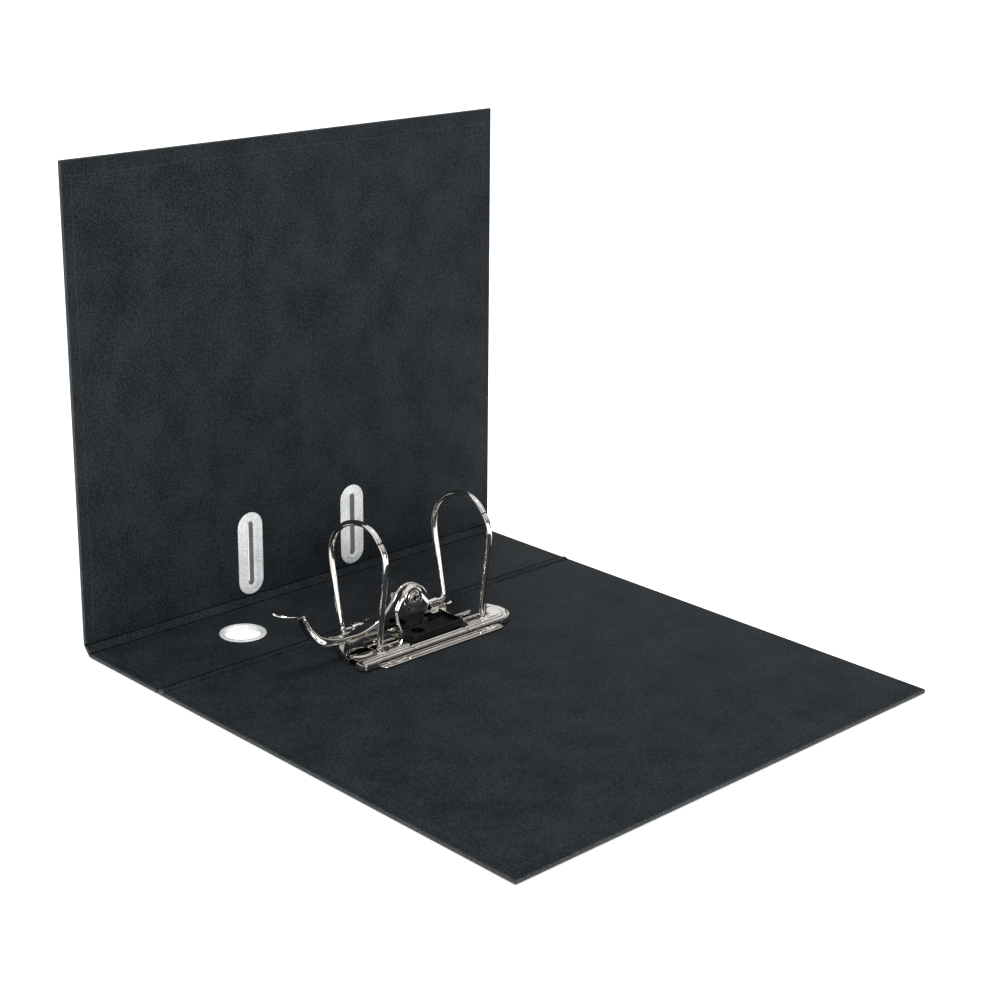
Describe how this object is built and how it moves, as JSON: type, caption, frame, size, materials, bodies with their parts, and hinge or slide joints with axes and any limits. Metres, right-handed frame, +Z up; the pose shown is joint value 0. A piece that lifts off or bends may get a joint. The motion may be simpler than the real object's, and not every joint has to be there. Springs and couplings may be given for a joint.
{
  "type": "ring binder",
  "caption": "Two-ring lever arch binder for A4 paper: hinged board case with slotted front cover, finger ring in the spine and a lever-operated arch mechanism.",
  "frame": {"origin": "centre of the bounding box at its bottom, on the surface the open binder lies on", "axes": "+X from the spine to the fore edge of the back cover, +Y along the spine away from the thumb tab, +Z up"},
  "size_m": [0.362, 0.318, 0.2878],
  "materials": {
    "covering_paper": "matte",
    "lining_paper": "matte",
    "greyboard": "matte",
    "grey_plastic": "matte",
    "nickel_plate": "polished",
    "nickel_small_parts": "satin",
    "spring_steel": "satin",
    "black_plastic": "satin"
  },
  "bodies": {
    "back_cover": {"back_cover_covering": "covering_paper", "back_cover_board": "greyboard", "back_cover_lining": "lining_paper", "base_plate": "nickel_plate", "lever_bracket": "nickel_plate", "near_fixed_post": "nickel_plate", "far_fixed_post": "nickel_plate", "lever_pivot_rivet": "nickel_plate", "leaf_spring": "spring_steel", "plastic_insert": "black_plastic", "fixing_rivet_front_near": "nickel_plate", "fixing_rivet_front_far": "nickel_plate", "fixing_rivet_rear_near": "nickel_plate", "fixing_rivet_rear_far": "nickel_plate", "bracket_rivet_near": "nickel_plate", "bracket_rivet_far": "nickel_plate"},
    "back_hinge": {"back_hinge_covering": "covering_paper", "back_hinge_board": "greyboard", "back_hinge_lining": "lining_paper"},
    "spine": {"spine_covering": "covering_paper", "spine_board": "greyboard", "spine_lining": "lining_paper", "finger_ring_inner": "grey_plastic", "finger_ring_outer": "grey_plastic"},
    "front_hinge": {"front_hinge_covering": "covering_paper", "front_hinge_board": "greyboard", "front_hinge_lining": "lining_paper"},
    "front_cover": {"front_cover_covering": "covering_paper", "front_cover_board": "greyboard", "front_cover_lining": "lining_paper", "near_slot_eyelet": "grey_plastic", "near_slot_clinch_plate": "grey_plastic", "far_slot_eyelet": "grey_plastic", "far_slot_clinch_plate": "grey_plastic"},
    "arches": {"arch_wire": "nickel_plate"},
    "lever": {"lever": "nickel_plate", "roller_pin": "nickel_small_parts"},
    "roller": {"cam_roller": "nickel_small_parts"}
  },
  "joints": [
    {"name": "back_crease_inner", "type": "hinge", "parent": "back_cover", "child": "back_hinge", "pos_m": [-0.09998, 0, 0.0026], "axis": [0, 1, 0], "range_deg": [0, 45]},
    {"name": "back_crease_outer", "type": "hinge", "parent": "back_hinge", "child": "spine", "pos_m": [-0.10598, 0, 0.0026], "axis": [0, 1, 0], "range_deg": [0, 45]},
    {"name": "front_crease_inner", "type": "hinge", "parent": "spine", "child": "front_hinge", "pos_m": [-0.17338, 0, 0.0026], "axis": [0, 1, 0], "range_deg": [-45, 0]},
    {"name": "front_crease_outer", "type": "hinge", "parent": "front_hinge", "child": "front_cover", "pos_m": [-0.17762, 0, 0.00684], "axis": [0, 1, 0], "range_deg": [-45, 0]},
    {"name": "lever_pivot", "type": "hinge", "parent": "back_cover", "child": "lever", "pos_m": [-0.07258, -0.005, 0.0282], "axis": [1, 0, 0], "range_deg": [-85, 0]},
    {"name": "arch_hinge", "type": "hinge", "parent": "back_cover", "child": "arches", "pos_m": [-0.08948, 0, 0.0093], "axis": [0, 1, 0], "range_deg": [-40, 0]},
    {"name": "roller_spin", "type": "hinge", "parent": "lever", "child": "roller", "pos_m": [-0.08118, -0.005, 0.0147], "axis": [1, 0, 0], "continuous": true}
  ],
  "couplings": [
    {"joint": "arch_hinge", "follows": "lever_pivot", "ratio": 0.47}
  ]
}
